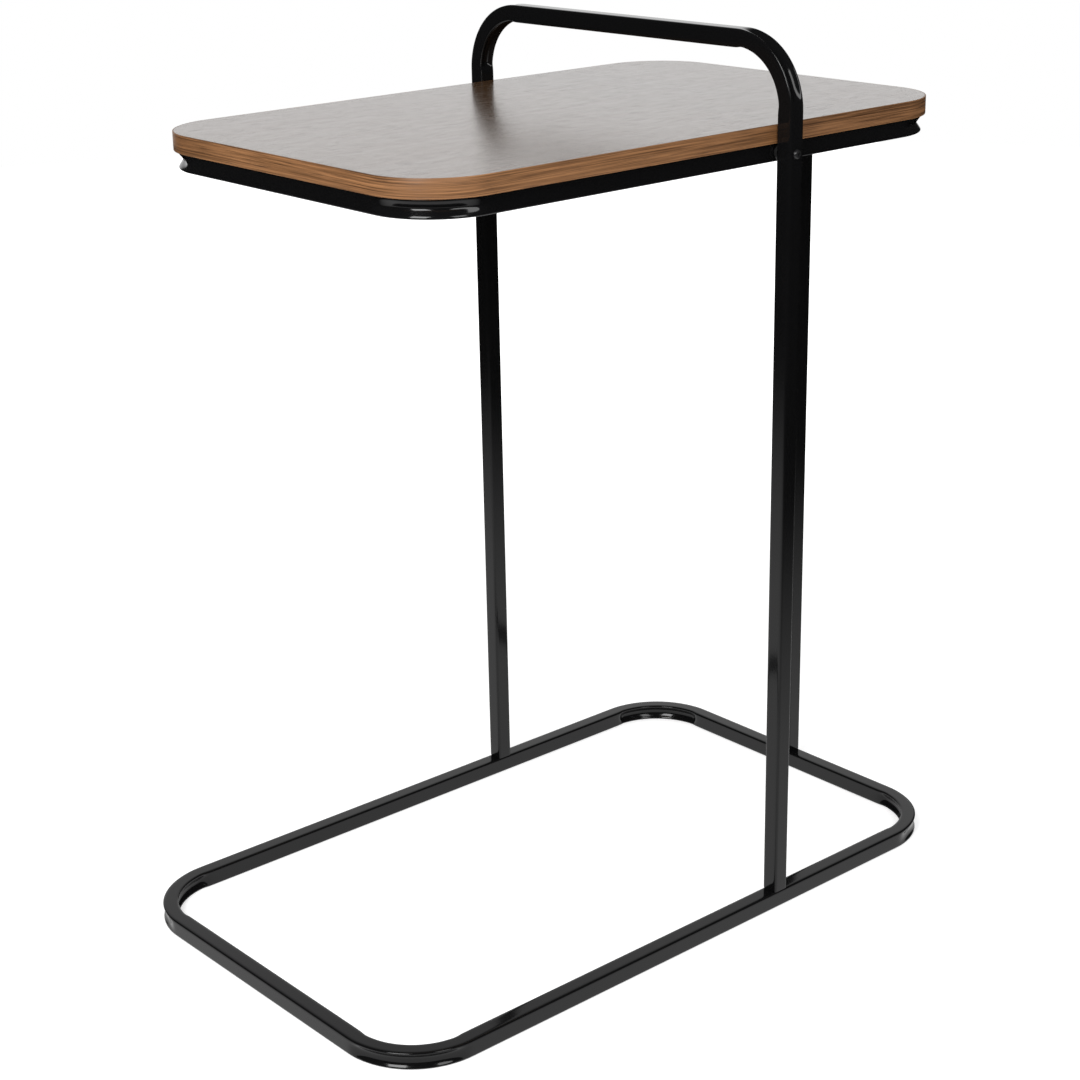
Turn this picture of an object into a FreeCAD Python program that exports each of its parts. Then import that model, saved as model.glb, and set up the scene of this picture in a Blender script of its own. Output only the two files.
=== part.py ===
import FreeCAD, Part
import math
import os

# C-shaped side table. Millimetres, +Z up, the floor at Z = 0 and the origin under the middle of the
# base ring. The mouth of the C opens towards -X, and the rear leg stands at +X.

# Square tube of the whole frame
tube_size = 15.0
tube_wall = 1.2
tube_edge_radius = 1.5

# Base ring
base_length = 650.0
base_width = 390.0
base_corner_radius = 70.0

# Board, which reaches a little past the ring under it
board_thickness = 15.0
board_corner_radius = 60.0
board_overhang = 3.0
open_end_setback = 63.0
laminate_thickness = 0.6
edge_band_thickness = 1.0

# Handle frame: two side legs and the bar that crosses over the board, with room for a hand between
handle_height = 755.0
hand_gap = 55.0
handle_bend_radius = 60.0
side_leg_offset = 97.0

# Grooves that the bending press leaves in the outer and inner walls of every bend
outer_groove_depth = 4.6
outer_groove_radius = 6.3
inner_groove_depth = 3.0
inner_groove_radius = 5.6
groove_end_clearance = 0.7

# Screws that hold the legs to the upper ring, with a spacer and a rivet nut between
leg_screw_diameter = 4.0
leg_screw_length = 25.0
leg_screw_head_diameter = 7.6
leg_screw_head_height = 2.2
leg_screw_socket_width = 2.5
leg_screw_socket_depth = 1.3
spacer_diameter = 14.0
spacer_thickness = 2.7
rivet_flange_diameter = 8.0
rivet_flange_thickness = 0.8
rivet_body_diameter = 6.0
rivet_body_length = 9.0
rivet_crimp_diameter = 8.0
rivet_crimp_length = 2.5

# Bolts that come up through the base ring into threaded plugs in the feet
foot_bolt_diameter = 6.0
foot_bolt_length = 16.0
foot_bolt_head_diameter = 10.5
foot_bolt_head_height = 3.3
foot_bolt_socket_width = 4.0
foot_bolt_socket_depth = 2.0
foot_washer_diameter = 12.0
foot_washer_thickness = 1.0
foot_plug_length = 18.0

# Wood screws in the upper ring's top wall, with their heads inside the tube, up into the board
wood_screw_diameter = 4.0
wood_screw_length = 13.0
wood_screw_point = 3.0
wood_screw_head_diameter = 8.0
wood_screw_head_height = 2.4
wood_screw_slot_length = 4.4
wood_screw_slot_width = 0.9
wood_screw_slot_depth = 1.2
long_side_screw_reach = 200.0
short_side_screw_reach = 75.0

# Plastic cap in the open top of the rear leg
cap_head_height = 1.5
cap_insert_length = 12.0

# Clearances
screw_hole_clearance = 0.5
thread_clearance = 0.05
plug_clearance = 0.1
access_hole_clearance = 1.0

# Places that follow from the sizes
X_AXIS = FreeCAD.Vector(1, 0, 0)
Y_AXIS = FreeCAD.Vector(0, 1, 0)
Z_AXIS = FreeCAD.Vector(0, 0, 1)
bore_size = tube_size - 2 * tube_wall
bore_edge_radius = max(tube_edge_radius - tube_wall, 0.1)
joint_gap = spacer_thickness + rivet_flange_thickness
side_leg_y = base_width / 2 - tube_size / 2
rear_leg_x = base_length / 2 - tube_size / 2
ring_half_width = side_leg_y - tube_size / 2 - joint_gap
ring_rear_x = rear_leg_x - tube_size / 2 - joint_gap
ring_open_x = -base_length / 2 + open_end_setback + board_overhang
ring_length = ring_rear_x - ring_open_x
ring_middle_x = (ring_rear_x + ring_open_x) / 2
ring_corner_radius = board_corner_radius - board_overhang
top_height = handle_height - tube_size - hand_gap
board_underside = top_height - board_thickness
ring_underside = board_underside - tube_size
wood_screw_seat = board_underside - tube_wall
joint_height = board_underside - tube_size / 2


def rounded_rectangle(length, width, radius):
    """Wire of a rectangle with round corners, centred on the origin in the XY plane."""
    corners = []
    for turn, (side_x, side_y) in enumerate([(1, 1), (-1, 1), (-1, -1), (1, -1)]):
        centre = FreeCAD.Vector(side_x * (length / 2 - radius), side_y * (width / 2 - radius), 0)
        points = []
        for step in range(3):
            angle = math.pi / 2 * (turn + step / 2)
            points.append(centre + FreeCAD.Vector(math.cos(angle), math.sin(angle), 0) * radius)
        corners.append(points)
    edges = []
    for number, points in enumerate(corners):
        following = corners[(number + 1) % 4]
        edges.append(Part.Arc(*points).toShape())
        edges.append(Part.LineSegment(points[2], following[0]).toShape())
    return Part.Wire(edges)


def cylinder(diameter, length, start, direction):
    """Round bar from a start point along a direction."""
    return Part.makeCylinder(diameter / 2, length, start, direction)


def stand_along(shape, place, direction):
    """Shape made along +Z at the origin, moved so that +Z points along the direction."""
    shape.Placement = FreeCAD.Placement(place, FreeCAD.Rotation(Z_AXIS, direction))
    return shape


def swept_bar(path, start, tangent, binormal, size, edge_radius):
    """Square bar with rounded edges swept along a flat path."""
    section = rounded_rectangle(size, size, edge_radius)
    across = tangent.cross(binormal)
    section.Placement = FreeCAD.Placement(start, FreeCAD.Rotation(across, binormal, tangent, "ZXY"))
    sweep = Part.BRepOffsetAPI.MakePipeShell(path)
    sweep.setBiNormalMode(binormal)
    sweep.add(section)
    sweep.build()
    sweep.makeSolid()
    return sweep.shape()


def groove_cutter(bend_centre, axis, outwards, wall_radius, depth, radius, into_outer_wall):
    """Part of a round ring that bites into a bend's wall at its middle and runs out of it at its ends.

    Its own centre is off the bend's centre, so that the groove is deepest half way round.
    """
    half_turn = math.cos(math.pi / 4)
    shift = (depth + groove_end_clearance) / (1 - half_turn)
    if into_outer_wall:
        centre = bend_centre - outwards * shift
        ring_radius = wall_radius - depth + shift + radius
    else:
        centre = bend_centre + outwards * shift
        ring_radius = wall_radius + depth - shift - radius
    first = FreeCAD.Rotation(axis, -45).multVec(outwards)
    circle = Part.Circle(centre + first * ring_radius, first.cross(axis), radius)
    disc = Part.Face(Part.Wire(circle.toShape()))
    return disc.revolve(centre, axis, 90)


def grooved_tube(path, start, tangent, axis, bends, bend_radius):
    """Hollow square tube along a path, with the press's grooves in both walls of each bend."""
    outside = swept_bar(path, start, tangent, axis, tube_size, tube_edge_radius)
    bore = swept_bar(path, start, tangent, axis, bore_size, bore_edge_radius)
    walls = (
        (bend_radius, -tube_wall, outer_groove_depth, outer_groove_radius, True),
        (bend_radius - tube_size, tube_wall, inner_groove_depth, inner_groove_radius, False),
    )
    skins = []
    linings = []
    for centre, outwards in bends:
        for radius, to_bore, depth, groove, is_outer in walls:
            skins.append(groove_cutter(centre, axis, outwards, radius, depth, groove, is_outer))
            linings.append(
                groove_cutter(
                    centre, axis, outwards, radius + to_bore, depth, groove + tube_wall, is_outer
                )
            )
    outside = outside.cut(Part.makeCompound(skins))
    bore = bore.cut(Part.makeCompound(linings))
    return outside.cut(bore)


def tube_ring(length, width, corner_radius, centre_x, bottom):
    """Closed loop of grooved tube lying flat."""
    half_tube = tube_size / 2
    place = FreeCAD.Vector(centre_x, 0, bottom + half_tube)
    path = rounded_rectangle(length - tube_size, width - tube_size, corner_radius - half_tube)
    path.translate(place)
    start = place + FreeCAD.Vector(length / 2 - half_tube, width / 2 - corner_radius, 0)
    bends = []
    for side_x in (-1, 1):
        for side_y in (-1, 1):
            outwards = FreeCAD.Vector(side_x, side_y, 0).normalize()
            centre_from_middle = FreeCAD.Vector(
                side_x * (length / 2 - corner_radius), side_y * (width / 2 - corner_radius), 0
            )
            bends.append((place + centre_from_middle, outwards))
    return grooved_tube(path, start, Y_AXIS, Z_AXIS, bends, corner_radius)


def straight_tube(length):
    """Hollow square tube standing on the origin."""
    outside = Part.Face(rounded_rectangle(tube_size, tube_size, tube_edge_radius))
    bore = Part.Face(rounded_rectangle(bore_size, bore_size, bore_edge_radius))
    return outside.extrude(Z_AXIS * length).cut(bore.extrude(Z_AXIS * length))


def turned(profile):
    """Solid turned about the Z axis from a list of radius and height pairs."""
    points = [FreeCAD.Vector(radius, 0, height) for radius, height in profile]
    points.append(points[0])
    return Part.Face(Part.makePolygon(points)).revolve(FreeCAD.Vector(0, 0, 0), Z_AXIS, 360)


def washer(diameter, thickness, hole_diameter):
    """Flat round washer standing on the origin."""
    disc = Part.makeCylinder(diameter / 2, thickness)
    return disc.cut(Part.makeCylinder(hole_diameter / 2, thickness))


def hexagon_bar(width, length):
    """Six-sided bar, as wide across its flats as given, up from the origin."""
    corner = width / 2 / math.cos(math.pi / 6)
    points = [
        FreeCAD.Vector(corner * math.cos(math.pi / 3 * side), corner * math.sin(math.pi / 3 * side), 0)
        for side in range(7)
    ]
    return Part.Face(Part.makePolygon(points)).extrude(Z_AXIS * length)


def button_screw(diameter, length, head_diameter, head_height, socket_width, socket_depth):
    """Machine screw with a domed head below the origin and its shank up the Z axis."""
    rim = head_height / 8
    crown = head_diameter / 4
    shoulder_radius = (head_diameter / 2 + crown) / 2 + head_height / 6
    shoulder_height = (rim + head_height) / 2 + head_height / 6
    side = Part.Arc(
        FreeCAD.Vector(head_diameter / 2, 0, -rim),
        FreeCAD.Vector(shoulder_radius, 0, -shoulder_height),
        FreeCAD.Vector(crown, 0, -head_height),
    )
    straight = [
        FreeCAD.Vector(crown, 0, -head_height),
        FreeCAD.Vector(0, 0, -head_height),
        FreeCAD.Vector(0, 0, 0),
        FreeCAD.Vector(head_diameter / 2, 0, 0),
        FreeCAD.Vector(head_diameter / 2, 0, -rim),
    ]
    outline = Part.Wire([side.toShape()] + Part.makePolygon(straight).Edges)
    head = Part.Face(outline).revolve(FreeCAD.Vector(0, 0, 0), Z_AXIS, 360)
    socket = hexagon_bar(socket_width, socket_depth)
    socket.translate(Z_AXIS * -head_height)
    tip = diameter / 8
    shank = turned(
        [
            (0, 0),
            (diameter / 2, 0),
            (diameter / 2, length - tip),
            (diameter / 2 - tip, length),
            (0, length),
        ]
    )
    return head.fuse(shank).cut(socket).removeSplitter()


def board_outline_plate(inset, thickness, bottom):
    """Plate with the board's outline, set in all round."""
    length = ring_length + 2 * (board_overhang - inset)
    width = 2 * (ring_half_width + board_overhang - inset)
    outline = rounded_rectangle(length, width, board_corner_radius - inset)
    outline.translate(FreeCAD.Vector(ring_middle_x, 0, bottom))
    return Part.Face(outline).extrude(Z_AXIS * thickness)


def wood_screw_places(height):
    """Points on the axes of the board's screws at this height."""
    half_tube = tube_size / 2
    places = []
    for side in (-1, 1):
        for end in (-1, 1):
            on_long_side = FreeCAD.Vector(
                ring_middle_x + end * long_side_screw_reach,
                side * (ring_half_width - half_tube),
                height,
            )
            on_short_side = FreeCAD.Vector(
                ring_middle_x + end * (ring_length / 2 - half_tube),
                side * short_side_screw_reach,
                height,
            )
            places.extend([on_long_side, on_short_side])
    return places


def wood_screw_bars(diameter, length, height):
    """Round bars on the axes of the wood screws from this height, for the holes that they need."""
    bars = [cylinder(diameter, length, place, Z_AXIS) for place in wood_screw_places(height)]
    return Part.makeCompound(bars)


def leg_joints():
    """Point on the leg's outer face and inward direction of the screw through each leg."""
    joints = []
    for side in (-1, 1):
        outer = FreeCAD.Vector(side_leg_offset, side * base_width / 2, joint_height)
        joints.append((outer, Y_AXIS * -side))
    joints.append((FreeCAD.Vector(base_length / 2, 0, joint_height), X_AXIS * -1))
    return joints


def at_leg_joints(shape, depth):
    """Copies of a shape made up the Z axis, one in each leg joint, this deep behind the outer face."""
    copies = []
    for outer, inwards in leg_joints():
        copies.append(stand_along(shape.copy(), outer + inwards * depth, inwards))
    return Part.makeCompound(copies)


def foot_places():
    """Points on top of the base ring where the three legs stand."""
    return {
        "left": FreeCAD.Vector(side_leg_offset, side_leg_y, tube_size),
        "right": FreeCAD.Vector(side_leg_offset, -side_leg_y, tube_size),
        "rear": FreeCAD.Vector(rear_leg_x, 0, tube_size),
    }


def at_feet(shape, height):
    """Copies of a shape, one on the axis of each foot at this height."""
    copies = []
    for place in foot_places().values():
        copy = shape.copy()
        copy.translate(FreeCAD.Vector(place.x, place.y, height))
        copies.append(copy)
    return Part.makeCompound(copies)


def board_core():
    """Particle board between its two laminates, with a pilot hole for each wood screw."""
    thickness = board_thickness - 2 * laminate_thickness
    core = board_outline_plate(edge_band_thickness, thickness, board_underside + laminate_thickness)
    hole_diameter = wood_screw_diameter + 2 * thread_clearance
    hole_length = wood_screw_length + thread_clearance
    return core.cut(wood_screw_bars(hole_diameter, hole_length, wood_screw_seat))


def top_laminate():
    """Printed wood-look sheet on the board."""
    return board_outline_plate(edge_band_thickness, laminate_thickness, top_height - laminate_thickness)


def underside_laminate():
    """Backing sheet under the board, pierced by the wood screws."""
    sheet = board_outline_plate(edge_band_thickness, laminate_thickness, board_underside)
    hole_diameter = wood_screw_diameter + 2 * thread_clearance
    return sheet.cut(wood_screw_bars(hole_diameter, wood_screw_length, wood_screw_seat))


def edge_band():
    """Strip glued round the edge of the board."""
    strip = board_outline_plate(0, board_thickness, board_underside)
    return strip.cut(board_outline_plate(edge_band_thickness, board_thickness, board_underside))


def upper_ring():
    """Tube ring that carries the board, with holes for the rivet nuts and the wood screws.

    Below each wood screw is a wider hole for its head and the screwdriver.
    """
    ring = tube_ring(
        ring_length, 2 * ring_half_width, ring_corner_radius, ring_middle_x, ring_underside
    )
    nut_hole = Part.makeCylinder(rivet_body_diameter / 2 + thread_clearance, 2 * tube_wall)
    nut_holes = at_leg_joints(nut_hole, tube_size + joint_gap - tube_wall / 2)
    screw_hole_diameter = wood_screw_diameter + screw_hole_clearance
    screw_holes = wood_screw_bars(screw_hole_diameter, tube_wall, wood_screw_seat)
    head_hole_diameter = wood_screw_head_diameter + access_hole_clearance
    head_holes = wood_screw_bars(head_hole_diameter, 2 * tube_wall, ring_underside - tube_wall / 2)
    return ring.cut(nut_holes).cut(screw_holes).cut(head_holes)


def leg_screw_holes():
    """Round bars through the legs where their screws pass."""
    hole = Part.makeCylinder((leg_screw_diameter + screw_hole_clearance) / 2, tube_size)
    return at_leg_joints(hole, 0)


def handle_frame():
    """One bent tube: a side leg, the bar over the board, and the other side leg."""
    half_tube = tube_size / 2
    bend = handle_bend_radius - half_tube
    bar_height = handle_height - half_tube
    sides = []
    for side in (-1, 1):
        foot = FreeCAD.Vector(side_leg_offset, side * side_leg_y, tube_size)
        centre = FreeCAD.Vector(side_leg_offset, side * (side_leg_y - bend), bar_height - bend)
        outwards = FreeCAD.Vector(0, side, 1).normalize()
        leg_end = centre + Y_AXIS * side * bend
        bar_end = centre + Z_AXIS * bend
        leg = Part.LineSegment(foot, leg_end).toShape()
        turn = Part.Arc(leg_end, centre + outwards * bend, bar_end).toShape()
        sides.append((foot, bar_end, leg, turn, (centre, outwards)))
    right, left = sides
    bar = Part.LineSegment(right[1], left[1]).toShape()
    path = Part.Wire([right[2], right[3], bar, left[3], left[2]])
    tube = grooved_tube(path, right[0], Z_AXIS, X_AXIS, [right[4], left[4]], handle_bend_radius)
    return tube.cut(leg_screw_holes())


def rear_leg():
    """Straight tube behind the upper ring, cut off just under the board for its cap."""
    foot = foot_places()["rear"]
    tube = straight_tube(board_underside - cap_head_height - foot.z)
    tube.translate(foot)
    return tube.cut(leg_screw_holes())


def rear_leg_cap():
    """Plastic cap: a flat head on the tube and an insert that the leg's screw passes through."""
    top = foot_places()["rear"] + Z_AXIS * (board_underside - tube_size)
    head = Part.Face(rounded_rectangle(tube_size, tube_size, tube_edge_radius))
    head = head.extrude(Z_AXIS * -cap_head_height)
    top_edges = [edge for edge in head.Edges if edge.BoundBox.ZMin > -cap_head_height / 4]
    head = head.makeFillet(cap_head_height / 3, top_edges)
    insert_size = bore_size - 2 * plug_clearance
    insert = Part.Face(rounded_rectangle(insert_size, insert_size, bore_edge_radius))
    insert = insert.extrude(Z_AXIS * -(cap_insert_length + cap_head_height))
    cap = head.fuse(insert)
    cap.translate(top)
    return cap.cut(leg_screw_holes()).removeSplitter()


def base_ring():
    """Tube ring on the floor, with a bolt hole above and a wider hole for the tool below each foot."""
    ring = tube_ring(base_length, base_width, base_corner_radius, 0, 0)
    bolt_hole = Part.makeCylinder((foot_bolt_diameter + screw_hole_clearance) / 2, 2 * tube_wall)
    tool_hole = Part.makeCylinder((foot_washer_diameter + access_hole_clearance) / 2, 2 * tube_wall)
    bolt_holes = at_feet(bolt_hole, tube_size - 1.5 * tube_wall)
    tool_holes = at_feet(tool_hole, -tube_wall / 2)
    return ring.cut(bolt_holes).cut(tool_holes)


def foot_plug(place):
    """Threaded square plug fixed in the foot of a leg."""
    size = bore_size - 2 * plug_clearance
    plug = Part.Face(rounded_rectangle(size, size, bore_edge_radius)).extrude(Z_AXIS * foot_plug_length)
    plug = plug.cut(Part.makeCylinder(foot_bolt_diameter / 2 + thread_clearance, foot_plug_length))
    plug.translate(place)
    return plug


def leg_screws():
    """Button-head screws through the legs into the rivet nuts."""
    screw = button_screw(
        leg_screw_diameter,
        leg_screw_length,
        leg_screw_head_diameter,
        leg_screw_head_height,
        leg_screw_socket_width,
        leg_screw_socket_depth,
    )
    return at_leg_joints(screw, 0)


def leg_spacers():
    """Plastic spacers between the legs and the flanges of the rivet nuts."""
    hole_diameter = leg_screw_diameter + screw_hole_clearance
    return at_leg_joints(washer(spacer_diameter, spacer_thickness, hole_diameter), tube_size)


def rivet_nuts():
    """Threaded sleeves clenched into the upper ring's outer wall."""
    bore = leg_screw_diameter / 2 + thread_clearance
    body = rivet_body_diameter / 2
    crimp = rivet_crimp_diameter / 2
    flange = rivet_flange_diameter / 2
    wall_inside = rivet_flange_thickness + tube_wall
    nut = turned(
        [
            (bore, 0),
            (flange, 0),
            (flange, rivet_flange_thickness),
            (body, rivet_flange_thickness),
            (body, wall_inside),
            (crimp, wall_inside),
            (crimp, wall_inside + rivet_crimp_length),
            (body, wall_inside + rivet_crimp_length),
            (body, wall_inside + rivet_body_length),
            (bore, wall_inside + rivet_body_length),
        ]
    )
    return at_leg_joints(nut, tube_size + spacer_thickness)


def foot_bolts():
    """Bolts with their heads inside the base ring, up into the plugs in the feet."""
    bolt = button_screw(
        foot_bolt_diameter,
        foot_bolt_length,
        foot_bolt_head_diameter,
        foot_bolt_head_height,
        foot_bolt_socket_width,
        foot_bolt_socket_depth,
    )
    return at_feet(bolt, tube_size - tube_wall - foot_washer_thickness)


def foot_washers():
    """Washers between the foot bolts' heads and the base ring's upper wall."""
    hole_diameter = foot_bolt_diameter + screw_hole_clearance
    ring = washer(foot_washer_diameter, foot_washer_thickness, hole_diameter)
    return at_feet(ring, tube_size - tube_wall - foot_washer_thickness)


def wood_screws():
    """Pan-head wood screws from inside the upper ring up into the board."""
    radius = wood_screw_diameter / 2
    head_radius = wood_screw_head_diameter / 2
    screw = turned(
        [
            (0, -wood_screw_head_height),
            (head_radius * 0.7, -wood_screw_head_height),
            (head_radius, -wood_screw_head_height * 0.5),
            (head_radius, 0),
            (radius, 0),
            (radius, wood_screw_length - wood_screw_point),
            (0, wood_screw_length),
        ]
    )
    for length, width in (
        (wood_screw_slot_length, wood_screw_slot_width),
        (wood_screw_slot_width, wood_screw_slot_length),
    ):
        corner = FreeCAD.Vector(-length / 2, -width / 2, -wood_screw_head_height)
        screw = screw.cut(Part.makeBox(length, width, wood_screw_slot_depth, corner))
    copies = [stand_along(screw.copy(), place, Z_AXIS) for place in wood_screw_places(wood_screw_seat)]
    return Part.makeCompound(copies)


def table_pieces():
    """Every piece of the table by its name."""
    pieces = {
        "base_ring": base_ring(),
        "handle_frame": handle_frame(),
        "rear_leg": rear_leg(),
        "rear_leg_cap": rear_leg_cap(),
        "upper_ring": upper_ring(),
        "board_core": board_core(),
        "top_laminate": top_laminate(),
        "underside_laminate": underside_laminate(),
        "edge_band": edge_band(),
        "leg_screws": leg_screws(),
        "leg_spacers": leg_spacers(),
        "rivet_nuts": rivet_nuts(),
        "foot_bolts": foot_bolts(),
        "foot_washers": foot_washers(),
        "wood_screws": wood_screws(),
    }
    for name, place in foot_places().items():
        pieces["foot_plug_" + name] = foot_plug(place)
    return pieces


os.makedirs("parts", exist_ok=True)
for name, shape in table_pieces().items():
    shape.exportStep("parts/" + name + ".step")
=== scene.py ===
import math

import bmesh
import bpy
from mathutils import Matrix, Vector


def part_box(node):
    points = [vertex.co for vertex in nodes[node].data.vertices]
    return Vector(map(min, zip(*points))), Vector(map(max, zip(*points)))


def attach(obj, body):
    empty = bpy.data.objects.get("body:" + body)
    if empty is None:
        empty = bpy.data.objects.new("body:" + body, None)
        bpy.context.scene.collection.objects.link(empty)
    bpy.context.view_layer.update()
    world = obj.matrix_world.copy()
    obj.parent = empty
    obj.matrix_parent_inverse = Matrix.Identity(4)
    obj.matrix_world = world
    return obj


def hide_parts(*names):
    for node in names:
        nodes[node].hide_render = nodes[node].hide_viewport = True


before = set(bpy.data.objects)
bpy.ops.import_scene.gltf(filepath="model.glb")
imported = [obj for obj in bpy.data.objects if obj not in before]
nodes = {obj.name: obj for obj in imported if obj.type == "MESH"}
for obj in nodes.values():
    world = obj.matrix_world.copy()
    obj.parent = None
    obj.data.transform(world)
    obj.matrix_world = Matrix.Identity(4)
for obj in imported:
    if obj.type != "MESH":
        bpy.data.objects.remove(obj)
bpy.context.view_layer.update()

# Camera: it looks down on the open end and the long near side from about waist height, two metres
# away. A long lens keeps the legs nearly upright.
camera_turn = math.radians(-40.8)
camera_rise = math.radians(19.7)
camera_roll = math.radians(-1.1)
camera_distance = 1.894
camera_lens = 72.9
camera_sensor = 36.0
aim_height = 0.3425
aim_right = -0.0049
aim_up = -0.0243


def camera_axes(turn, rise, roll):
    """Right, up and back directions of a camera that is turned, raised and then rolled."""
    back = Vector((math.sin(turn) * math.cos(rise), -math.cos(turn) * math.cos(rise), math.sin(rise)))
    right = Vector((math.cos(turn), math.sin(turn), 0))
    up = back.cross(right)
    rolled_right = right * math.cos(roll) + up * math.sin(roll)
    rolled_up = up * math.cos(roll) - right * math.sin(roll)
    return rolled_right, rolled_up, back


right, up, back = camera_axes(camera_turn, camera_rise, camera_roll)
camera_aim = Vector((0, 0, aim_height)) + right * aim_right + up * aim_up
bpy.ops.object.camera_add(location=camera_aim + back * camera_distance)
camera = bpy.context.object
camera.name = "camera"
camera.rotation_euler = Matrix((right, up, back)).transposed().to_euler()
camera.data.lens = camera_lens
camera.data.sensor_width = camera_sensor
bpy.context.scene.camera = camera
bpy.context.scene.view_settings.view_transform = "Standard"

# Studio light: two tall soft boxes stand left and right of the camera, high enough to light the board.
# The left one is the key. The rest of the room is dim.
lamp_rise = math.radians(36)
lamp_distance = 2.3


def soft_box(name, turn_from_camera, width, height, energy):
    """Rectangular lamp that faces the middle of the table."""
    _, _, towards_lamp = camera_axes(camera_turn + math.radians(turn_from_camera), lamp_rise, 0)
    middle = Vector((0, 0, aim_height))
    bpy.ops.object.light_add(type="AREA", location=middle + towards_lamp * lamp_distance)
    lamp = bpy.context.object
    lamp.name = name
    lamp.rotation_euler = towards_lamp.to_track_quat("Z", "Y").to_euler()
    lamp.data.shape = "RECTANGLE"
    lamp.data.size = width
    lamp.data.size_y = height
    lamp.data.energy = energy


soft_box("key_light", turn_from_camera=-26, width=0.8, height=1.3, energy=33.0)
soft_box("fill_light", turn_from_camera=31, width=0.6, height=1.2, energy=10.0)

# Room: white to look at in every direction. In gloss, only a pale backdrop behind the table shows, which
# fades upwards, and the dim rest of the room.
backdrop_turn = math.radians(9)
backdrop_half_width = math.radians(23)
backdrop_soft_edge = math.radians(12)
backdrop_full_rise = 0.17
backdrop_dark_rise = 0.90
ambient_light = 0.62
dim_room = 0.02
least_level = 0.01

world = bpy.data.worlds.new("room")
bpy.context.scene.world = world
world.use_nodes = True


def add_node(tree, kind, **settings):
    """New node in a tree with its settings."""
    node = tree.nodes.new(kind)
    for name, value in settings.items():
        setattr(node, name, value)
    return node


def feed(tree, socket, value):
    """Links a socket into another, or sets the value on it."""
    if isinstance(value, bpy.types.NodeSocket):
        tree.links.new(value, socket)
    else:
        socket.default_value = value


def math_node(tree, operation, first, second=0.0, clamp=False):
    """Math node fed by sockets or numbers, and its output."""
    node = add_node(tree, "ShaderNodeMath", operation=operation, use_clamp=clamp)
    feed(tree, node.inputs[0], first)
    feed(tree, node.inputs[1], second)
    return node.outputs[0]


def ramp_between(tree, value, start, end):
    """Smooth step from 0 at start to 1 at end."""
    node = add_node(tree, "ShaderNodeMapRange", interpolation_type="SMOOTHSTEP")
    feed(tree, node.inputs["Value"], value)
    node.inputs["From Min"].default_value = start
    node.inputs["From Max"].default_value = end
    return node.outputs["Result"]


room = world.node_tree
room.nodes.clear()
room_path = add_node(room, "ShaderNodeLightPath")
room_direction = add_node(room, "ShaderNodeTexCoord")
away_from_camera = add_node(room, "ShaderNodeVectorMath", operation="DOT_PRODUCT")
room.links.new(room_direction.outputs["Generated"], away_from_camera.inputs[0])
backdrop_way = camera_turn + backdrop_turn
away_from_camera.inputs[1].default_value = (-math.sin(backdrop_way), math.cos(backdrop_way), 0)
room_parts = add_node(room, "ShaderNodeSeparateXYZ")
room.links.new(room_direction.outputs["Generated"], room_parts.inputs[0])
height_squared = math_node(room, "MULTIPLY", room_parts.outputs["Z"], room_parts.outputs["Z"])
level = math_node(room, "SQRT", math_node(room, "SUBTRACT", 1.0, height_squared))
level_or_more = math_node(room, "MAXIMUM", level, least_level)
facing = math_node(room, "DIVIDE", away_from_camera.outputs["Value"], level_or_more)
backdrop_edges = (math.cos(backdrop_half_width + backdrop_soft_edge), math.cos(backdrop_half_width))
in_width = ramp_between(room, facing, *backdrop_edges)
in_height = ramp_between(room, room_parts.outputs["Z"], backdrop_dark_rise, backdrop_full_rise)
backdrop = math_node(room, "MAXIMUM", math_node(room, "MULTIPLY", in_width, in_height), dim_room)
seen_in_gloss = math_node(room, "MULTIPLY", room_path.outputs["Is Glossy Ray"], backdrop)
seen_straight = math_node(
    room, "ADD", room_path.outputs["Is Camera Ray"], room_path.outputs["Is Transmission Ray"], clamp=True
)
shown = math_node(room, "MAXIMUM", seen_straight, room_path.outputs["Is Glossy Ray"])
unseen_light = math_node(room, "MULTIPLY", math_node(room, "SUBTRACT", 1.0, shown), ambient_light)
seen_light = math_node(room, "ADD", seen_straight, seen_in_gloss)
room_background = add_node(room, "ShaderNodeBackground")
room_background.inputs["Color"].default_value = (1, 1, 1, 1)
room.links.new(math_node(room, "ADD", seen_light, unseen_light), room_background.inputs["Strength"])
room_output = add_node(room, "ShaderNodeOutputWorld")
room.links.new(room_background.outputs[0], room_output.inputs["Surface"])

# Floor: a wide pale sheet that runs into the white room. It takes the table's soft shadow. In the gloss of
# the tubes
# it shows a painted pool of light instead: it glows there, brightest near the table and fading out with
# distance.
floor_radius = 4.0
floor_clearance = 0.0002
floor_colour = (0.8, 0.8, 0.8, 1)
floor_glow_near = 0.50
floor_glow_far = 1.0
floor_glow_reach = (0.5, 1.6)
floor_in_gloss = 0.85
painted_pool_centre = (-0.12, 0.12, 0)
painted_pool_full_radius = 0.40
painted_pool_dark_radius = 1.55

floor_place = (0, 0, -floor_clearance)
bpy.ops.mesh.primitive_circle_add(vertices=96, radius=floor_radius, fill_type="NGON", location=floor_place)
floor = bpy.context.object
floor.name = "floor"
floor_material = bpy.data.materials.new("pale_floor")
floor_material.use_nodes = True
sheet = floor_material.node_tree
sheet.nodes.clear()
sheet_path = add_node(sheet, "ShaderNodeLightPath")
sheet_place = add_node(sheet, "ShaderNodeTexCoord")
from_painted_pool = add_node(sheet, "ShaderNodeVectorMath", operation="DISTANCE")
sheet.links.new(sheet_place.outputs["Object"], from_painted_pool.inputs[0])
from_painted_pool.inputs[1].default_value = painted_pool_centre
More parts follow.
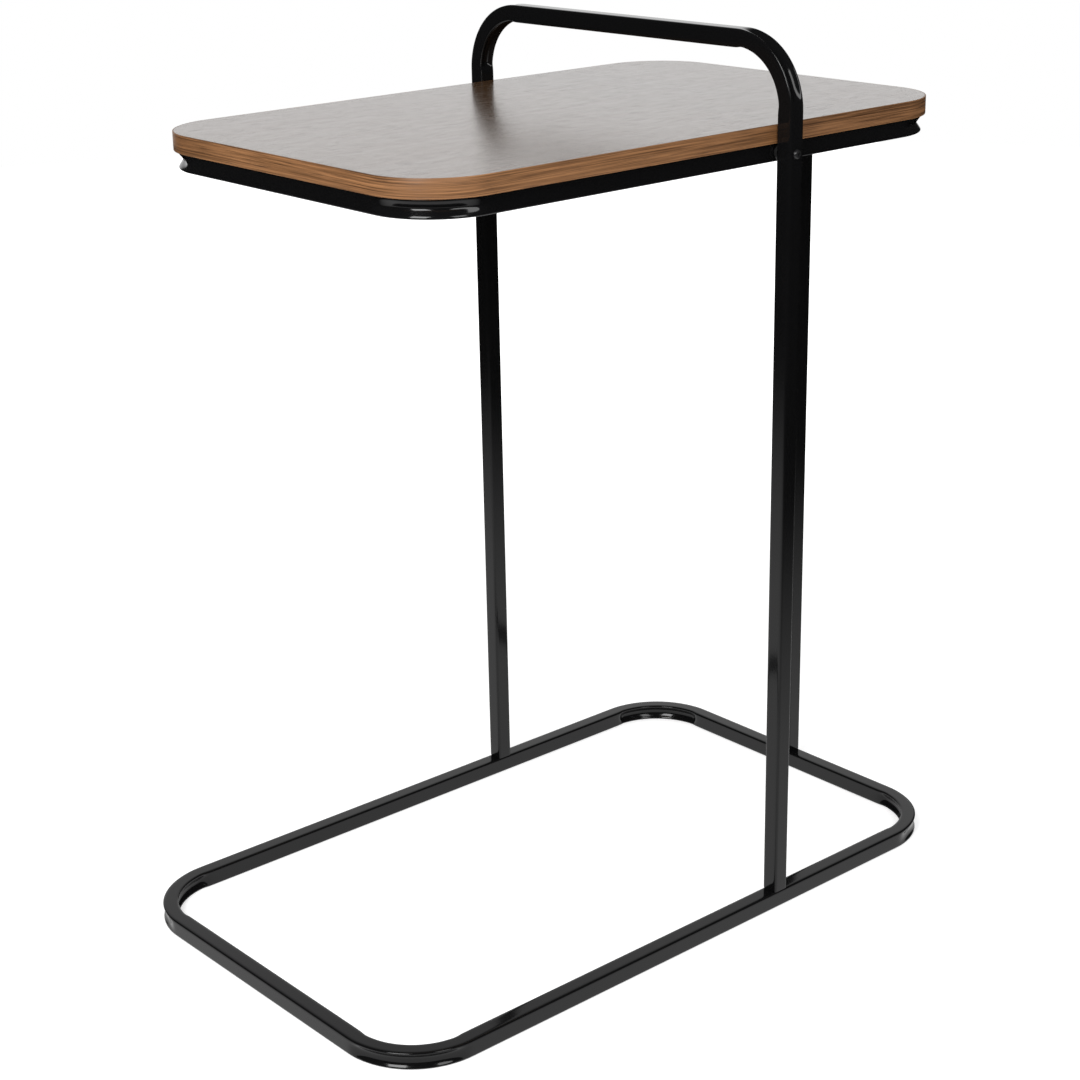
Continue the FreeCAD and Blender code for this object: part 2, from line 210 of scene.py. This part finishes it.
# Painted pool of light: the floor's glow in gloss, full near the pool's centre and gone far from it.
painted_pool = ramp_between(sheet, from_painted_pool.outputs["Value"], painted_pool_dark_radius, painted_pool_full_radius)
gloss_strength = math_node(sheet, "MULTIPLY", painted_pool, floor_in_gloss)
far_out = ramp_between(sheet, from_painted_pool.outputs["Value"], *floor_glow_reach)
glow_rise = math_node(sheet, "MULTIPLY", far_out, floor_glow_far - floor_glow_near)
glow_level = math_node(sheet, "ADD", glow_rise, floor_glow_near)
straight = math_node(
    sheet, "ADD", sheet_path.outputs["Is Camera Ray"], sheet_path.outputs["Is Transmission Ray"], clamp=True
)
glow = add_node(sheet, "ShaderNodeEmission")
sheet.links.new(math_node(sheet, "MULTIPLY", straight, glow_level), glow.inputs["Strength"])
lit = add_node(sheet, "ShaderNodeBsdfDiffuse")
lit.inputs["Color"].default_value = floor_colour
lit_and_glow = add_node(sheet, "ShaderNodeAddShader")
sheet.links.new(lit.outputs[0], lit_and_glow.inputs[0])
sheet.links.new(glow.outputs[0], lit_and_glow.inputs[1])
# In gloss the floor is only this glow, a painted pool of light with no lamp behind it.
painted_pool_glow = add_node(sheet, "ShaderNodeEmission")
sheet.links.new(gloss_strength, painted_pool_glow.inputs["Strength"])
either = add_node(sheet, "ShaderNodeMixShader")
sheet.links.new(sheet_path.outputs["Is Glossy Ray"], either.inputs[0])
sheet.links.new(lit_and_glow.outputs[0], either.inputs[1])
sheet.links.new(painted_pool_glow.outputs[0], either.inputs[2])
sheet_output = add_node(sheet, "ShaderNodeOutputMaterial")
sheet.links.new(either.outputs[0], sheet_output.inputs["Surface"])
floor.data.materials.append(floor_material)

# Base ring: square steel tube bent round four corners and welded into a closed loop. The bending press
# leaves a groove in the outer and inner wall of each bend. Below each foot is a hole for the tool that
# turns the foot's bolt. It is powder coated in gloss black.
tube_width = 0.015
tube_wall = 0.0012
tube_edge_radius = 0.0015
groove_rows = 7
plain_wall_cuts = 3
smooth_angle = math.radians(40)
same_section = 0.01
groove_half_width = 0.0060
outer_groove_run_out = math.radians(17)
inner_groove_depth = 0.0034
inner_groove_power = 1.8
inner_groove_run_out = math.radians(5)
inner_wall_shift = 0.0010
bend_end_steps = 3
bend_end_angle = math.radians(10)
bend_middle_steps = 10
bend_support = 0.010
end_support = 0.001
base_bend_radius = 0.070
base_groove_depth = 0.0028
base_groove_power = 2.4
tool_hole_radius = 0.0065

coat_colour = (0.004, 0.004, 0.0042, 1)
coat_roughness = (0.09, 0.14)
coat_index = 1.42
coat_peel_size = 0.0030
coat_peel_height = 0.000006
coat_smudge_size = 0.060
smudge_contrast = (0.35, 0.75)


def select_where(kind, test):
    """Selects the vertices, edges or faces of the piece in edit mode whose middle passes the test."""
    bpy.ops.mesh.select_mode(type=kind)
    bpy.ops.mesh.select_all(action="DESELECT")
    mesh = bmesh.from_edit_mesh(bpy.context.object.data)
    for item in {"VERT": mesh.verts, "EDGE": mesh.edges, "FACE": mesh.faces}[kind]:
        corners = [item.co] if kind == "VERT" else [corner.co for corner in item.verts]
        item.select = test(sum(corners, Vector()) / len(corners))
    mesh.select_flush_mode()
    bmesh.update_edit_mesh(bpy.context.object.data)


def extrude(way):
    """Draws the selected edge loop on along a way, in edit mode."""
    bpy.ops.mesh.extrude_region_move(TRANSFORM_OT_translate={"value": way})


def bend_angles():
    """Angle of each section inside a bend, with the sections close together at both ends."""
    fine_step = bend_end_angle / bend_end_steps
    wide_step = (math.pi / 2 - 2 * bend_end_angle) / bend_middle_steps
    steps = [fine_step] * bend_end_steps + [wide_step] * bend_middle_steps + [fine_step] * bend_end_steps
    return [sum(steps[: number + 1]) for number in range(len(steps) - 1)]


def press_section(bend_centre, out, along, angle, belongs, squeeze):
    """Moves the vertices of one section of a bend that belong nearer to the bend's axis or away from it."""
    axis = along.cross(out)
    towards = out * math.cos(angle) + along * math.sin(angle)

    def in_section(place):
        """True for a vertex of this section whose distance and height on the bend's axis belong."""
        arm = place - bend_centre
        height = arm.dot(axis)
        flat = arm - axis * height
        return (flat.normalized() - towards).length < same_section and belongs(flat.length, abs(height))

    select_where("VERT", in_section)
    factors = [1 if abs(part) > 0.5 else squeeze for part in axis]
    bpy.ops.transform.resize(value=factors, center_override=bend_centre)


def press_groove(bend_centre, out, along, wall_radius, depth, power, run_out, wall_shift=0.0):
    """Presses a groove into one wall of a bend, deepest in the middle row and run out at both ends.

    The whole wall may also be shifted between the bend's ends.
    """
    row_gap = 2 * groove_half_width / (groove_rows + 1)
    wall_depth = tube_edge_radius / 4
    shift_reach = wall_radius + abs(depth) + wall_depth
    for angle in bend_angles():
        reach = min(1.0, min(angle, math.pi / 2 - angle) / run_out)
        ease = reach * reach * (3 - 2 * reach)
        for row in range(groove_rows // 2 + 1):
            rise = row * row_gap
            share = ease * (1 - (rise / groove_half_width) ** power)

            def in_row(distance, height):
                """True for the wall's vertices in this row."""
                return abs(height - rise) < row_gap / 4 and abs(distance - wall_radius) < wall_depth

            press_section(bend_centre, out, along, angle, in_row, 1 - depth * share / wall_radius)
        if wall_shift:

            def in_wall(distance, height):
                """True for every vertex of this wall."""
                return distance < shift_reach

            press_section(bend_centre, out, along, angle, in_wall, 1 + wall_shift * ease / wall_radius)


def bent_tube_part(name, start, along, bend_centre, last_run, groove_depth, groove_power):
    """Tube from a start point along a way, round one grooved bend, and on for the last run.

    It is a skin with open ends, and stays a part of the tube until its mirror images are joined to it.
    """
    arm = start - bend_centre
    first_run = along * -arm.dot(along)
    out = (arm + first_run).normalized()
    axis = along.cross(out)
    bpy.ops.object.select_all(action="DESELECT")
    bpy.ops.mesh.primitive_plane_add(size=tube_width, location=start)
    piece = bpy.context.object
    piece.name = name
    piece.rotation_euler = along.to_track_quat("Z", "Y").to_euler()
    bpy.ops.object.transform_apply()
    bpy.ops.object.mode_set(mode="EDIT")
    bpy.ops.mesh.select_all(action="SELECT")
    bpy.ops.mesh.bevel(offset=tube_edge_radius, segments=2, affect="VERTICES")
    bpy.ops.mesh.delete(type="ONLY_FACE")
    on_wall = tube_width / 2 - tube_edge_radius / 10
    select_where("EDGE", lambda place: abs((place - start).dot(out)) > on_wall)
    bpy.ops.mesh.subdivide(number_cuts=groove_rows)
    select_where("EDGE", lambda place: abs((place - start).dot(axis)) > on_wall)
    bpy.ops.mesh.subdivide(number_cuts=plain_wall_cuts)
    bpy.ops.mesh.select_all(action="SELECT")
    extrude(along * end_support)
    extrude(first_run - along * (end_support + bend_support))
    extrude(along * bend_support)
    middle_angle = math.pi / 2 - 2 * bend_end_angle
    for steps, angle in (
        (bend_end_steps, bend_end_angle),
        (bend_middle_steps, middle_angle),
        (bend_end_steps, bend_end_angle),
    ):
        bpy.ops.mesh.spin(steps=steps, angle=angle, center=bend_centre, axis=axis)
    extrude(out * -bend_support)
    extrude(out * (bend_support - last_run))
    outer_radius = (arm + first_run).length + tube_width / 2
    inner_groove = (-inner_groove_depth, inner_groove_power, inner_groove_run_out, inner_wall_shift)
    press_groove(bend_centre, out, along, outer_radius, groove_depth, groove_power, outer_groove_run_out)
    press_groove(bend_centre, out, along, outer_radius - tube_width, *inner_groove)
    bpy.ops.object.mode_set(mode="OBJECT")
    return piece


def apply_modifier(piece, kind, **settings):
    """Adds a modifier with its settings and applies it."""
    modifier = piece.modifiers.new(kind.lower(), kind)
    for name, value in settings.items():
        setattr(modifier, name, value)
    bpy.context.view_layer.objects.active = piece
    bpy.ops.object.modifier_apply(modifier=modifier.name)


def finish_tube(piece, mirror_axes):
    """Joins the mirror images of a tube part, gives the skin its wall and smooths it."""
    for axis in mirror_axes:
        apply_modifier(piece, "MIRROR", use_axis=[axis == 0, axis == 1, False])
    bpy.ops.object.mode_set(mode="EDIT")
    bpy.ops.mesh.select_all(action="SELECT")
    bpy.ops.mesh.remove_doubles(threshold=0.00001)
    bpy.ops.mesh.normals_make_consistent(inside=False)
    bpy.ops.object.mode_set(mode="OBJECT")
    apply_modifier(piece, "SOLIDIFY", thickness=tube_wall, offset=-1, use_even_offset=True)
    apply_modifier(piece, "SUBSURF", levels=2, render_levels=2)
    bpy.ops.object.shade_smooth_by_angle(angle=smooth_angle)


def bent_ring(name, length, width, bend_radius, groove_depth, groove_power):
    """Closed loop of tube lying flat about the origin."""
    half_length = length / 2 - tube_width / 2
    half_width = width / 2 - tube_width / 2
    bend = bend_radius - tube_width / 2
    start = Vector((0, -half_width, 0))
    bend_centre = Vector((half_length - bend, bend - half_width, 0))
    last_run = half_width - bend
    groove = (groove_depth, groove_power)
    piece = bent_tube_part(name, start, Vector((1, 0, 0)), bend_centre, last_run, *groove)
    finish_tube(piece, (0, 1))
    return piece


def put_in_place(piece, place):
    """Moves a piece that was made about the origin, and leaves the place in its mesh."""
    bpy.ops.object.select_all(action="DESELECT")
    piece.select_set(True)
    bpy.context.view_layer.objects.active = piece
    piece.location = place
    bpy.ops.object.transform_apply()


def drill_underside(piece, radius, places):
    """Drills a round hole through the lower wall of a tube at each place."""
    bpy.ops.object.select_all(action="DESELECT")
    drills = []
    for place in places:
        bpy.ops.mesh.primitive_cylinder_add(vertices=48, radius=radius, depth=4 * tube_wall, location=place)
        drills.append(bpy.context.object)
    for drill in drills:
        drill.select_set(True)
    bpy.ops.object.join()
    joined = bpy.context.object
    apply_modifier(piece, "BOOLEAN", operation="DIFFERENCE", object=joined, solver="EXACT")
    bpy.data.objects.remove(joined)


def new_group(name, inputs, outputs):
    """Empty shader group with named number and vector sockets, and its input and output nodes."""
    group = bpy.data.node_groups.new(name, "ShaderNodeTree")
    for socket_name, kind, value in inputs:
        socket = group.interface.new_socket(socket_name, in_out="INPUT", socket_type=kind)
        if value is not None:
            socket.default_value = value
    for socket_name, kind in outputs:
        group.interface.new_socket(socket_name, in_out="OUTPUT", socket_type=kind)
    return group, group.nodes.new("NodeGroupInput").outputs, group.nodes.new("NodeGroupOutput").inputs


def noise(tree, vector, scale, detail=2.0, roughness=0.5):
    """Noise texture on a vector, and its value."""
    node = add_node(tree, "ShaderNodeTexNoise")
    feed(tree, node.inputs["Vector"], vector)
    feed(tree, node.inputs["Scale"], scale)
    node.inputs["Detail"].default_value = detail
    node.inputs["Roughness"].default_value = roughness
    return node.outputs["Fac"]


def spread(tree, value, low, high, source=(0.0, 1.0)):
    """Value taken from one range of numbers to another."""
    node = add_node(tree, "ShaderNodeMapRange")
    feed(tree, node.inputs["Value"], value)
    limits = {"From Min": source[0], "From Max": source[1], "To Min": low, "To Max": high}
    for name, number in limits.items():
        feed(tree, node.inputs[name], number)
    return node.outputs["Result"]


def new_material(name):
    """Material with a Principled surface, its tree and its surface node."""
    material = bpy.data.materials.new(name)
    material.use_nodes = True
    tree = material.node_tree
    return material, tree, tree.nodes["Principled BSDF"]


def own_place(tree):
    """The piece's own coordinates."""
    return add_node(tree, "ShaderNodeTexCoord").outputs["Object"]


def add_bump(tree, surface, height, distance):
    """Bump from a height into a surface's normal."""
    bump = add_node(tree, "ShaderNodeBump")
    bump.inputs["Distance"].default_value = distance
    bump.inputs["Strength"].default_value = 1.0
    feed(tree, bump.inputs["Height"], height)
    tree.links.new(bump.outputs["Normal"], surface.inputs["Normal"])


def dress(node_name, material):
    """Gives a piece of the construction its finish."""
    slots = nodes[node_name].data.materials
    for place in range(len(slots)):
        slots[place] = material


def stand_for(piece, node_name, material):
    """Gives a modelled piece its finish, and puts it in place of the piece of the construction."""
    piece.data.materials.clear()
    piece.data.materials.append(material)
    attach(piece, "root")
    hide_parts(node_name)


# The film of a sprayed finish: a faint orange peel, and smudges where hands and cloths have been.
film, film_in, film_out = new_group(
    "sprayed_film",
    (
        ("Vector", "NodeSocketVector", None),
        ("Peel Scale", "NodeSocketFloat", 300.0),
        ("Smudge Scale", "NodeSocketFloat", 15.0),
        ("Smooth", "NodeSocketFloat", 0.08),
        ("Rough", "NodeSocketFloat", 0.12),
    ),
    (("Peel", "NodeSocketFloat"), ("Roughness", "NodeSocketFloat")),
)
film.links.new(noise(film, film_in["Vector"], film_in["Peel Scale"], detail=1.0), film_out["Peel"])
smudge = noise(film, film_in["Vector"], film_in["Smudge Scale"], detail=3.0, roughness=0.6)
film_roughness = spread(film, smudge, film_in["Smooth"], film_in["Rough"], source=smudge_contrast)
film.links.new(film_roughness, film_out["Roughness"])


def spray_film(tree, surface, peel_size, peel_height, smudge_size, roughness):
    """Puts the sprayed film on a surface."""
    coat = add_node(tree, "ShaderNodeGroup", node_tree=film)
    tree.links.new(own_place(tree), coat.inputs["Vector"])
    coat.inputs["Peel Scale"].default_value = 1 / peel_size
    coat.inputs["Smudge Scale"].default_value = 1 / smudge_size
    coat.inputs["Smooth"].default_value = roughness[0]
    coat.inputs["Rough"].default_value = roughness[1]
    tree.links.new(coat.outputs["Roughness"], surface.inputs["Roughness"])
    add_bump(tree, surface, coat.outputs["Peel"], peel_height)


black_coat, coat_tree, coat_surface = new_material("black_powder_coat")
coat_surface.inputs["Base Color"].default_value = coat_colour
coat_surface.inputs["IOR"].default_value = coat_index
spray_film(coat_tree, coat_surface, coat_peel_size, coat_peel_height, coat_smudge_size, coat_roughness)

base_low, base_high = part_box("base_ring")
base_size = base_high - base_low
base_groove = (base_groove_depth, base_groove_power)
base_ring = bent_ring("base_tube_ring", base_size.x, base_size.y, base_bend_radius, *base_groove)
put_in_place(base_ring, (base_low + base_high) / 2)
tool_holes = []
for foot in ("left", "right", "rear"):
    foot_low, foot_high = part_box("foot_plug_" + foot)
    tool_holes.append(((foot_low.x + foot_high.x) / 2, (foot_low.y + foot_high.y) / 2, base_low.z))
drill_underside(base_ring, tool_hole_radius, tool_holes)
stand_for(base_ring, "base_ring", black_coat)

# Fasteners of the feet: zinc-plated bolts and washers inside the base ring, and a threaded steel plug
# fixed in the foot of each leg, which the bolt draws down onto the ring.
zinc_colours = ((0.50, 0.51, 0.53, 1), (0.66, 0.66, 0.64, 1))
zinc_cloud_size = 0.004
zinc_roughness = (0.22, 0.38)
zinc_grain_size = 0.0004
zinc_grain_height = 0.000004


def mix_colours(tree, share, first, second):
    """Colour between two others. The node's sockets 6, 7 and 2 are the ones for colours."""
    node = add_node(tree, "ShaderNodeMix", data_type="RGBA")
    feed(tree, node.inputs["Factor"], share)
    feed(tree, node.inputs[6], first)
    feed(tree, node.inputs[7], second)
    return node.outputs[2]


zinc, zinc_tree, zinc_surface = new_material("zinc_plating")
zinc_place = own_place(zinc_tree)
zinc_cloud = noise(zinc_tree, zinc_place, 1 / zinc_cloud_size, detail=3.0)
zinc_tree.links.new(mix_colours(zinc_tree, zinc_cloud, *zinc_colours), zinc_surface.inputs["Base Color"])
zinc_surface.inputs["Metallic"].default_value = 1.0
zinc_tree.links.new(spread(zinc_tree, zinc_cloud, *zinc_roughness), zinc_surface.inputs["Roughness"])
add_bump(zinc_tree, zinc_surface, noise(zinc_tree, zinc_place, 1 / zinc_grain_size), zinc_grain_height)
for name in ("foot_bolts", "foot_washers", "foot_plug_left", "foot_plug_right", "foot_plug_rear"):
    dress(name, zinc)

# Handle frame: one length of the same tube makes both side legs and the bar that crosses over the
# board. It is bent twice, with grooves of the same kind, and its two feet stand on the base ring.
handle_bend_radius = 0.060
handle_groove_depth = 0.0040
handle_groove_power = 1.6

handle_low, handle_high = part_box("handle_frame")
handle_middle = (handle_low + handle_high) / 2
handle_bend = handle_bend_radius - tube_width / 2
leg_y = handle_low.y + tube_width / 2
bar_z = handle_high.z - tube_width / 2
handle_foot = Vector((handle_middle.x, leg_y, handle_low.z))
handle_bend_centre = Vector((handle_middle.x, leg_y + handle_bend, bar_z - handle_bend))
handle_half_bar = -(leg_y + handle_bend)
handle_groove = (handle_groove_depth, handle_groove_power)
handle_frame = bent_tube_part(
    "handle_tube", handle_foot, Vector((0, 0, 1)), handle_bend_centre, handle_half_bar, *handle_groove
)
finish_tube(handle_frame, (1,))
stand_for(handle_frame, "handle_frame", black_coat)

# Rear leg: a straight piece of the same tube behind the board's ring, with a moulded plastic cap in its
# open top.
cap_colour = (0.007, 0.007, 0.007, 1)
cap_roughness = (0.42, 0.55)
cap_grain_size = 0.0005
cap_grain_height = 0.00002

dress("rear_leg", black_coat)
plastic, plastic_tree, plastic_surface = new_material("moulded_plastic")
plastic_surface.inputs["Base Color"].default_value = cap_colour
plastic_grain = noise(plastic_tree, own_place(plastic_tree), 1 / cap_grain_size)
plastic_roughness = spread(plastic_tree, plastic_grain, *cap_roughness)
plastic_tree.links.new(plastic_roughness, plastic_surface.inputs["Roughness"])
add_bump(plastic_tree, plastic_surface, plastic_grain, cap_grain_height)
dress("rear_leg_cap", plastic)

# Upper ring: a second ring of the same tube, a little smaller than the board that it carries. Below each
# wood screw is a hole in its lower wall, for the screw's head and the screwdriver.
upper_bend_radius = 0.057
upper_groove_depth = 0.0042
upper_groove_power = 1.0
head_hole_radius = 0.0045
wood_screw_head_radius = 0.004
long_side_screw_reach = 0.200
short_side_screw_reach = 0.075

upper_low, upper_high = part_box("upper_ring")
upper_size = upper_high - upper_low
upper_groove = (upper_groove_depth, upper_groove_power)
upper_ring = bent_ring("upper_tube_ring", upper_size.x, upper_size.y, upper_bend_radius, *upper_groove)
upper_middle = (upper_low + upper_high) / 2
put_in_place(upper_ring, upper_middle)
screws_low, screws_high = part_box("wood_screws")
head_holes = []
for end, end_x in ((-1, screws_low.x + wood_screw_head_radius), (1, screws_high.x - wood_screw_head_radius)):
    for side in (-1, 1):
        long_side_y = side * (screws_high.y - wood_screw_head_radius)
        head_holes.append((upper_middle.x + end * long_side_screw_reach, long_side_y, upper_low.z))
        head_holes.append((end_x, side * short_side_screw_reach, upper_low.z))
drill_underside(upper_ring, head_hole_radius, head_holes)
stand_for(upper_ring, "upper_ring", black_coat)

# Leg joints: a black button-head screw goes through each leg and a moulded spacer into a zinc-plated
# rivet nut, which is clenched in the upper ring's wall.
screw_colours = ((0.006, 0.006, 0.006, 1), (0.020, 0.020, 0.021, 1))
screw_roughness = (0.16, 0.28)
screw_wear_size = 0.0015

screw_black, screw_tree, screw_surface = new_material("black_screw_plating")
screw_wear = noise(screw_tree, own_place(screw_tree), 1 / screw_wear_size, detail=4.0, roughness=0.7)
screw_colour = mix_colours(screw_tree, screw_wear, *screw_colours)
screw_tree.links.new(screw_colour, screw_surface.inputs["Base Color"])
screw_tree.links.new(spread(screw_tree, screw_wear, *screw_roughness), screw_surface.inputs["Roughness"])
dress("leg_screws", screw_black)
dress("leg_spacers", plastic)
dress("rivet_nuts", zinc)

# Board core: pressed and glued wood chips, hidden between the two laminates and the edge band. The wood
# screws bite into it from below.
chip_size = 0.0035
chip_colours = ((0.30, 0.19, 0.10, 1), (0.62, 0.46, 0.28, 1))
chip_roughness = 0.85
chip_depth = 0.0002

chipboard, chip_tree, chip_surface = new_material("pressed_wood_chips")
chips = add_node(chip_tree, "ShaderNodeTexVoronoi")
chip_tree.links.new(own_place(chip_tree), chips.inputs["Vector"])
chips.inputs["Scale"].default_value = 1 / chip_size
chip_shade = add_node(chip_tree, "ShaderNodeSeparateColor")
chip_tree.links.new(chips.outputs["Color"], chip_shade.inputs[0])
chip_colour = mix_colours(chip_tree, chip_shade.outputs[0], *chip_colours)
chip_tree.links.new(chip_colour, chip_surface.inputs["Base Color"])
chip_surface.inputs["Roughness"].default_value = chip_roughness
add_bump(chip_tree, chip_surface, chips.outputs["Distance"], chip_depth)
dress("board_core", chipboard)

# Top laminate: paper printed as walnut under a satin film, with the grain along the board. Fine pores
# are pressed into it.
walnut_dark = (0.060, 0.031, 0.0135, 1)
walnut_light = (0.095, 0.049, 0.021, 1)
walnut_pore = (0.028, 0.014, 0.007, 1)
walnut_streak = (0.050, 0.0010, 0.0010)
walnut_pore_level = 0.60
walnut_roughness = (0.21, 0.28)
walnut_pore_depth = 0.00004
walnut_film_weight = (0.60, 0.24)
walnut_film_roughness = 0.19
broad_figure_scale = 0.13
broad_figure_share = 0.4
grain_contrast = (0.50, 0.90)
pore_scale = 2.2
pore_softness = 0.08

wood, wood_in, wood_out = new_group(
    "wood_figure",
    (("Streaks", "NodeSocketVector", None), ("Pore Level", "NodeSocketFloat", 0.62)),
    (("Grain", "NodeSocketFloat"), ("Pores", "NodeSocketFloat")),
)
fine_grain = noise(wood, wood_in["Streaks"], 1.0, detail=4.0, roughness=0.6)
broad_figure = noise(wood, wood_in["Streaks"], broad_figure_scale)
broad_grain = math_node(wood, "MULTIPLY", broad_figure, broad_figure_share)
both_grains = math_node(wood, "ADD", fine_grain, broad_grain)
wood.links.new(spread(wood, both_grains, 0.0, 1.0, source=grain_contrast), wood_out["Grain"])
pore_noise = noise(wood, wood_in["Streaks"], pore_scale, detail=1.0)
pore_edge = math_node(wood, "ADD", wood_in["Pore Level"], pore_softness)
pores = spread(wood, pore_noise, 0.0, 1.0, source=(wood_in["Pore Level"], pore_edge))
wood.links.new(pores, wood_out["Pores"])


def wood_finish(name, streak_size, dark, light, pore, pore_level, roughness, pore_depth):
    """Material of a printed wood surface, with streaks of the given size along each axis."""
    material, tree, surface = new_material(name)
    stretch = add_node(tree, "ShaderNodeMapping")
    tree.links.new(own_place(tree), stretch.inputs["Vector"])
    stretch.inputs["Scale"].default_value = [1 / size for size in streak_size]
    figure = add_node(tree, "ShaderNodeGroup", node_tree=wood)
    tree.links.new(stretch.outputs["Vector"], figure.inputs["Streaks"])
    figure.inputs["Pore Level"].default_value = pore_level
    figured = mix_colours(tree, figure.outputs["Grain"], dark, light)
    pored = mix_colours(tree, figure.outputs["Pores"], figured, pore)
    tree.links.new(pored, surface.inputs["Base Color"])
    tree.links.new(spread(tree, figure.outputs["Grain"], *roughness), surface.inputs["Roughness"])
    add_bump(tree, surface, math_node(tree, "SUBTRACT", 1.0, figure.outputs["Pores"]), pore_depth)
    return material, tree, surface, figure.outputs["Pores"]


walnut, walnut_tree, walnut_surface, walnut_pores = wood_finish(
    "walnut_laminate",
    walnut_streak,
    walnut_dark,
    walnut_light,
    walnut_pore,
    walnut_pore_level,
    walnut_roughness,
    walnut_pore_depth,
)
walnut_film = spread(walnut_tree, walnut_pores, *walnut_film_weight)
walnut_tree.links.new(walnut_film, walnut_surface.inputs["Coat Weight"])
walnut_surface.inputs["Coat Roughness"].default_value = walnut_film_roughness
dress("top_laminate", walnut)

# Backing laminate: a plain brown paper film, glued under the board so that the board doesn't warp. The
# upper ring lies against it.
backing_colours = ((0.17, 0.105, 0.065, 1), (0.22, 0.14, 0.09, 1))
backing_fibre_size = 0.004
backing_roughness = 0.6

backing, backing_tree, backing_surface = new_material("backing_film")
backing_place = own_place(backing_tree)
backing_cloud = noise(backing_tree, backing_place, 1 / backing_fibre_size, detail=5.0, roughness=0.7)
backing_colour = mix_colours(backing_tree, backing_cloud, *backing_colours)
backing_tree.links.new(backing_colour, backing_surface.inputs["Base Color"])
backing_surface.inputs["Roughness"].default_value = backing_roughness
dress("underside_laminate", backing)

# Edge band: a millimetre of printed strip, glued round the board with its two outer rims eased. Its
# streaks run round the board, so they are long level with the floor and thin upwards.
band_thickness = 0.001
band_corner_radius = 0.060
band_easing = 0.00035
band_dark = (0.050, 0.020, 0.006, 1)
band_light = (0.372, 0.172, 0.066, 1)
band_pore = (0.065, 0.027, 0.010, 1)
band_streak = (0.080, 0.080, 0.0007)
band_pore_level = 0.63
band_roughness = (0.35, 0.48)
band_pore_depth = 0.00004

band_low, band_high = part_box("edge_band")
band_size = band_high - band_low
band_middle = (band_low + band_high) / 2


def on_outer_rim(place):
    """True on the strip's outer outline at its top and its bottom."""
    from_middle = place - band_middle
    past_x = max(abs(from_middle.x) - band_size.x / 2 + band_corner_radius, 0)
    past_y = max(abs(from_middle.y) - band_size.y / 2 + band_corner_radius, 0)
    at_rim = abs(abs(from_middle.z) - band_size.z / 2) < band_easing / 10
    return at_rim and math.hypot(past_x, past_y) > band_corner_radius - band_thickness / 4


bpy.ops.object.select_all(action="DESELECT")
bpy.ops.mesh.primitive_plane_add(size=1, location=(band_middle.x, 0, band_low.z))
edge_band = bpy.context.object
edge_band.name = "walnut_edge_strip"
edge_band.scale = (band_size.x, band_size.y, 1)
bpy.ops.object.transform_apply()
bpy.ops.object.mode_set(mode="EDIT")
bpy.ops.mesh.select_all(action="SELECT")
bpy.ops.mesh.bevel(offset=band_corner_radius, segments=32, affect="VERTICES")
bpy.ops.mesh.delete(type="ONLY_FACE")
bpy.ops.mesh.select_all(action="SELECT")
extrude((0, 0, band_size.z))
bpy.ops.mesh.select_all(action="SELECT")
bpy.ops.mesh.normals_make_consistent(inside=False)
bpy.ops.object.mode_set(mode="OBJECT")
apply_modifier(edge_band, "SOLIDIFY", thickness=band_thickness, offset=-1, use_even_offset=True)
bpy.ops.object.mode_set(mode="EDIT")
select_where("EDGE", on_outer_rim)
bpy.ops.mesh.bevel(offset=band_easing, segments=2, affect="EDGES")
bpy.ops.object.mode_set(mode="OBJECT")
bpy.ops.object.shade_smooth_by_angle(angle=smooth_angle)
walnut_band, *_ = wood_finish(
    "walnut_edge_band",
    band_streak,
    band_dark,
    band_light,
    band_pore,
    band_pore_level,
    band_roughness,
    band_pore_depth,
)
stand_for(edge_band, "edge_band", walnut_band)

# Wood screws: zinc-plated, with their heads inside the upper ring, up through its top wall into the
# board.
dress("wood_screws", zinc)
